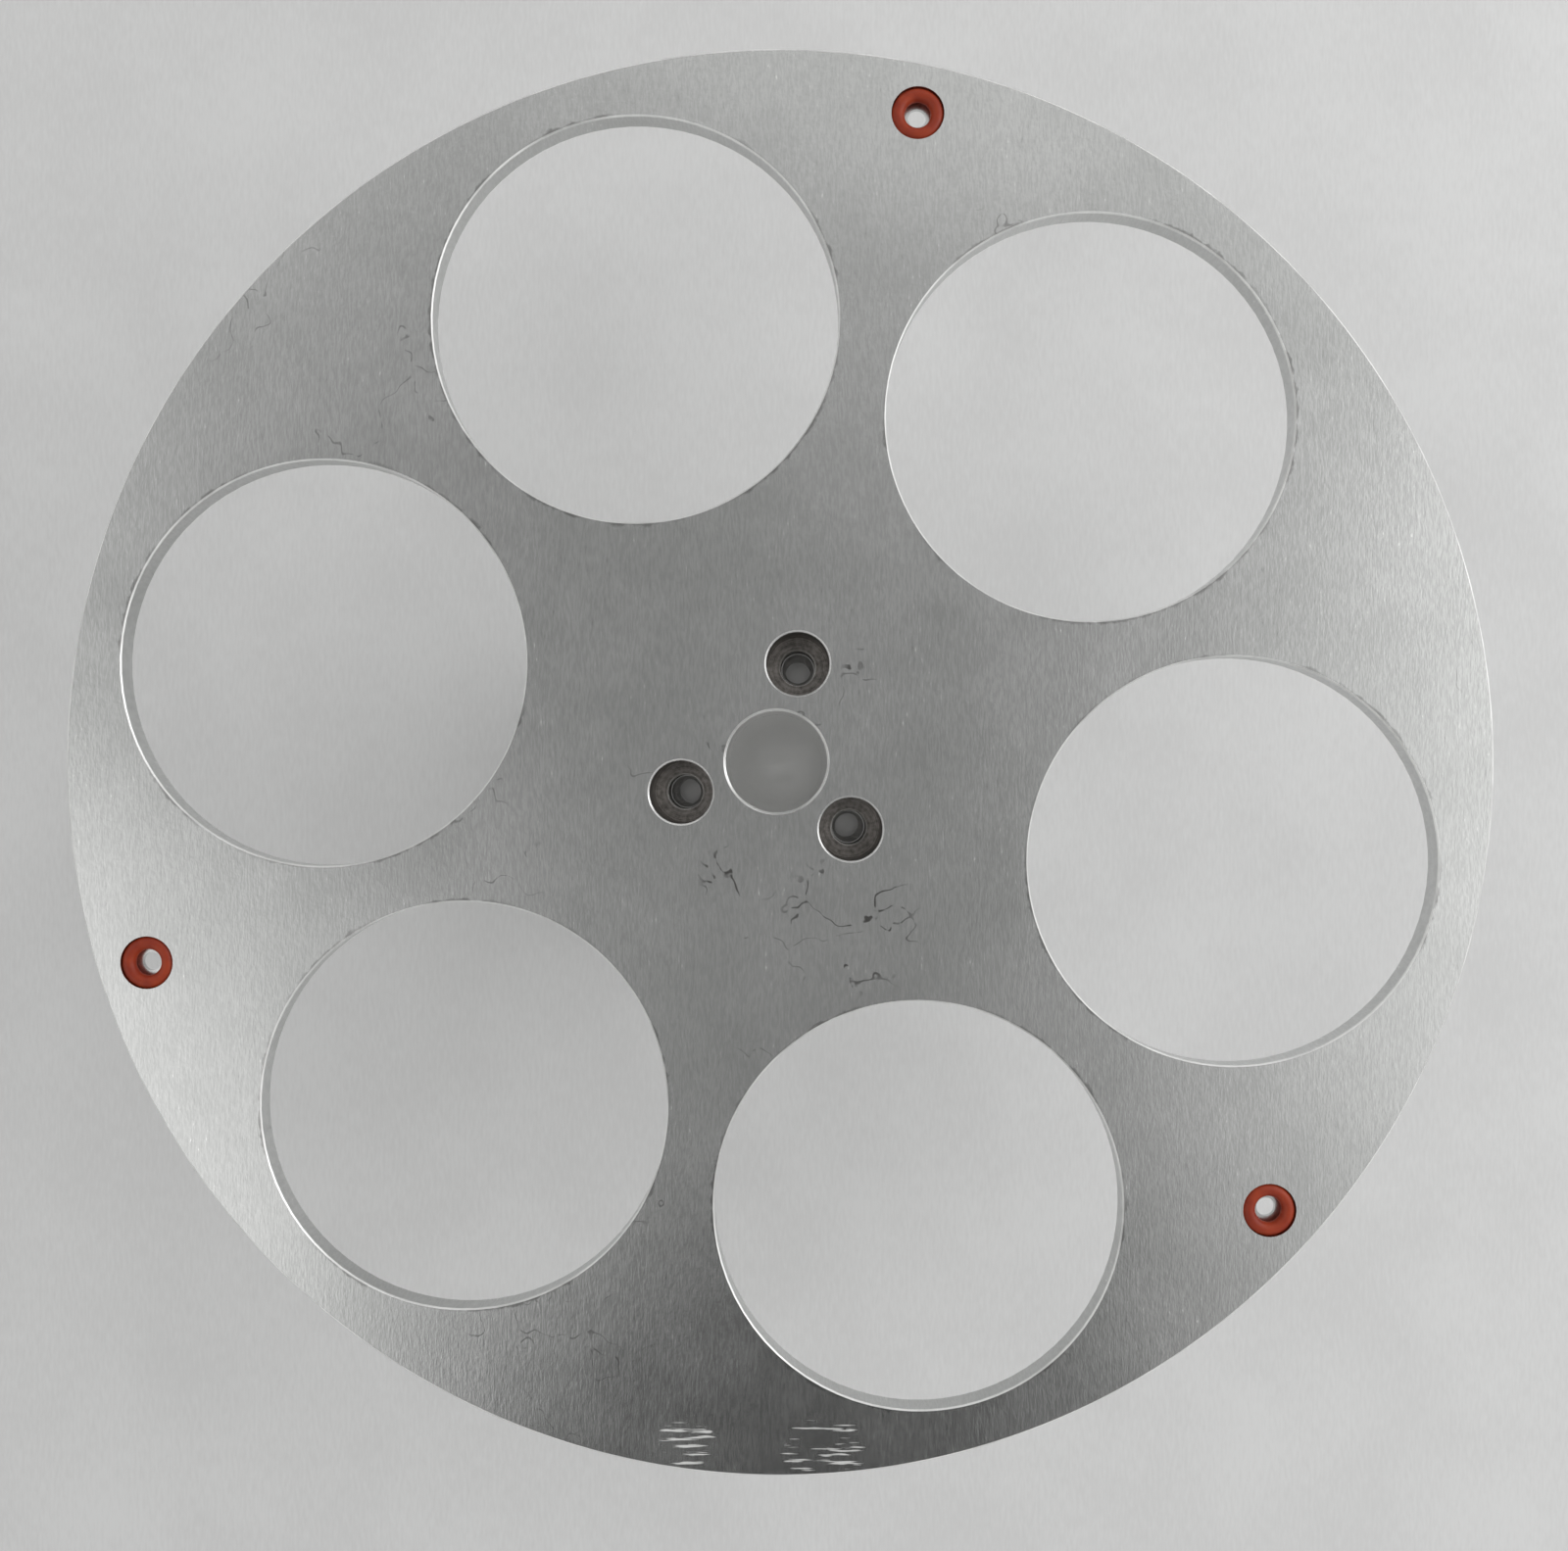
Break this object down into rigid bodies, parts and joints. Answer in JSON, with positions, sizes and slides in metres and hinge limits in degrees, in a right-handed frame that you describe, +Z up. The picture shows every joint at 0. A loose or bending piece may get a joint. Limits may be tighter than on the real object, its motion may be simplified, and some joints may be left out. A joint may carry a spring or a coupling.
{
  "type": "film developing reel",
  "caption": "Machined aluminium film developing reel: a round flange with large drain openings and red rim O-rings, seated on a tall drum hub with a spindle bore.",
  "frame": {"origin": "centre of the hub's lower end, where the reel stands", "axes": "+Z up along the spindle bore towards the flange; one screw hole and one rim gland lie on +Y, and one drain opening on +X"},
  "size_m": [0.1778, 0.1778, 0.062],
  "materials": {
    "satin_aluminium": "satin, fine straight grain with handling scratches",
    "turned_aluminium": "turned",
    "red_silicone": "matt moulded"
  },
  "bodies": {
    "hub": {"drum_tube": "turned_aluminium", "upper_end_plug": "turned_aluminium", "lower_end_plug": "turned_aluminium", "spindle_sleeve": "turned_aluminium"},
    "flange": {"flange_plate": "satin_aluminium", "o_ring_1": "red_silicone", "o_ring_2": "red_silicone", "o_ring_3": "red_silicone"}
  },
  "joints": [
    {"name": "flange_lift", "type": "slide", "parent": "hub", "child": "flange", "axis": [0, 0, 1], "range_m": [0, 0.03]}
  ]
}
